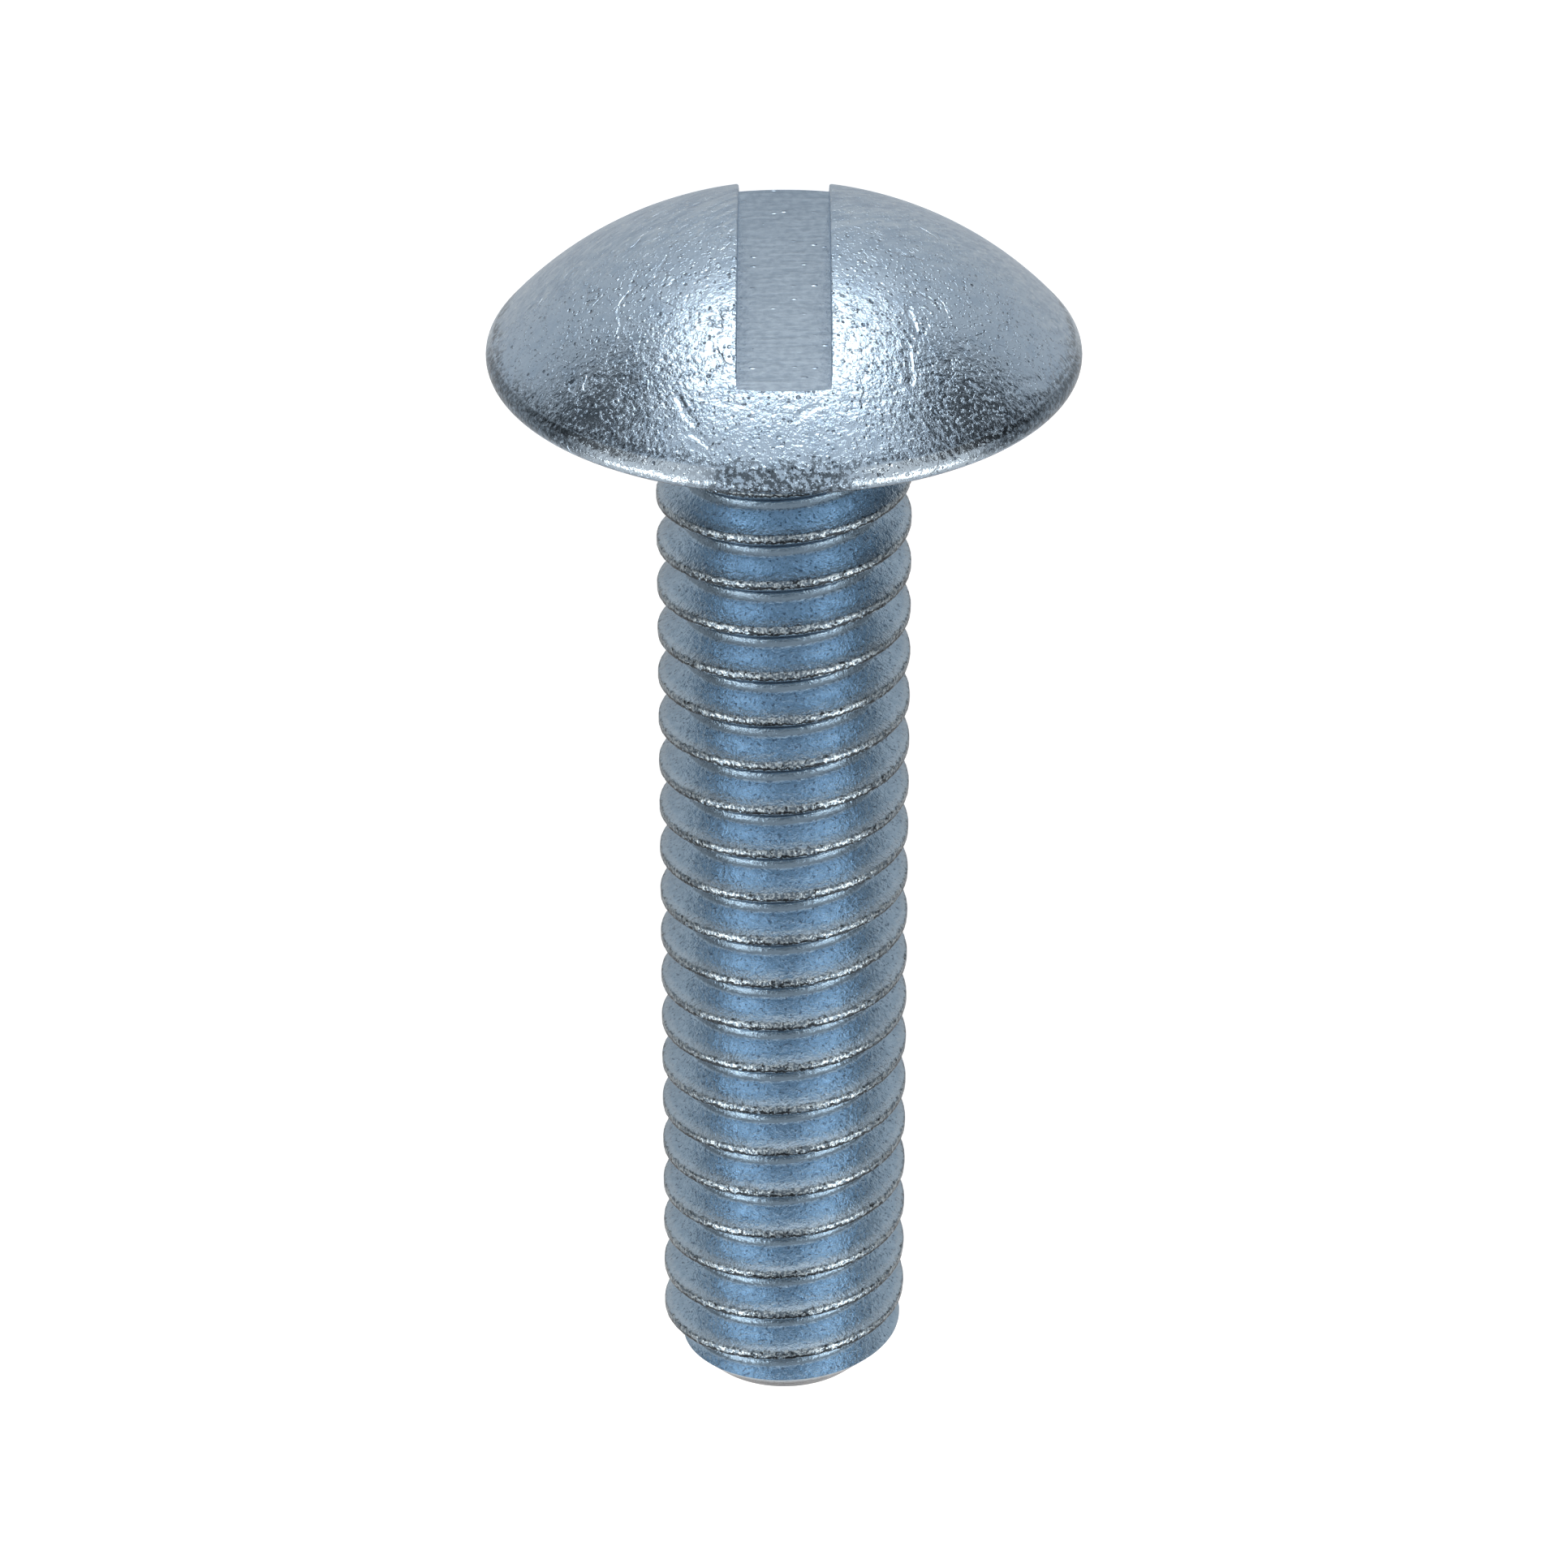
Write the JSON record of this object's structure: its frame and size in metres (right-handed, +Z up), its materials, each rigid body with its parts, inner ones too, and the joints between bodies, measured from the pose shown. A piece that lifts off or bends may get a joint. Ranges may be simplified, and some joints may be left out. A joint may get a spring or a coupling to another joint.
{
  "type": "truss head machine screw",
  "caption": "Slotted truss head machine screw in zinc-plated steel, threaded up to a short neck, that clamps thin sheets under its wide low dome.",
  "frame": {"origin": "on the floor under the centre of the bounding box, with the screw lying on its side as it comes to rest", "axes": "+Y along the screw towards its head, with the screw's own axis rising 8.3 degrees from the floor towards the head; +Z up; the slot's plane is YZ"},
  "size_m": [0.0146, 0.033, 0.0145],
  "materials": {
    "zinc_plate": "bright zinc plating with a blue cast, finely pitted and scratched"
  },
  "bodies": {
    "root": {"screw": "zinc_plate"}
  },
  "joints": []
}
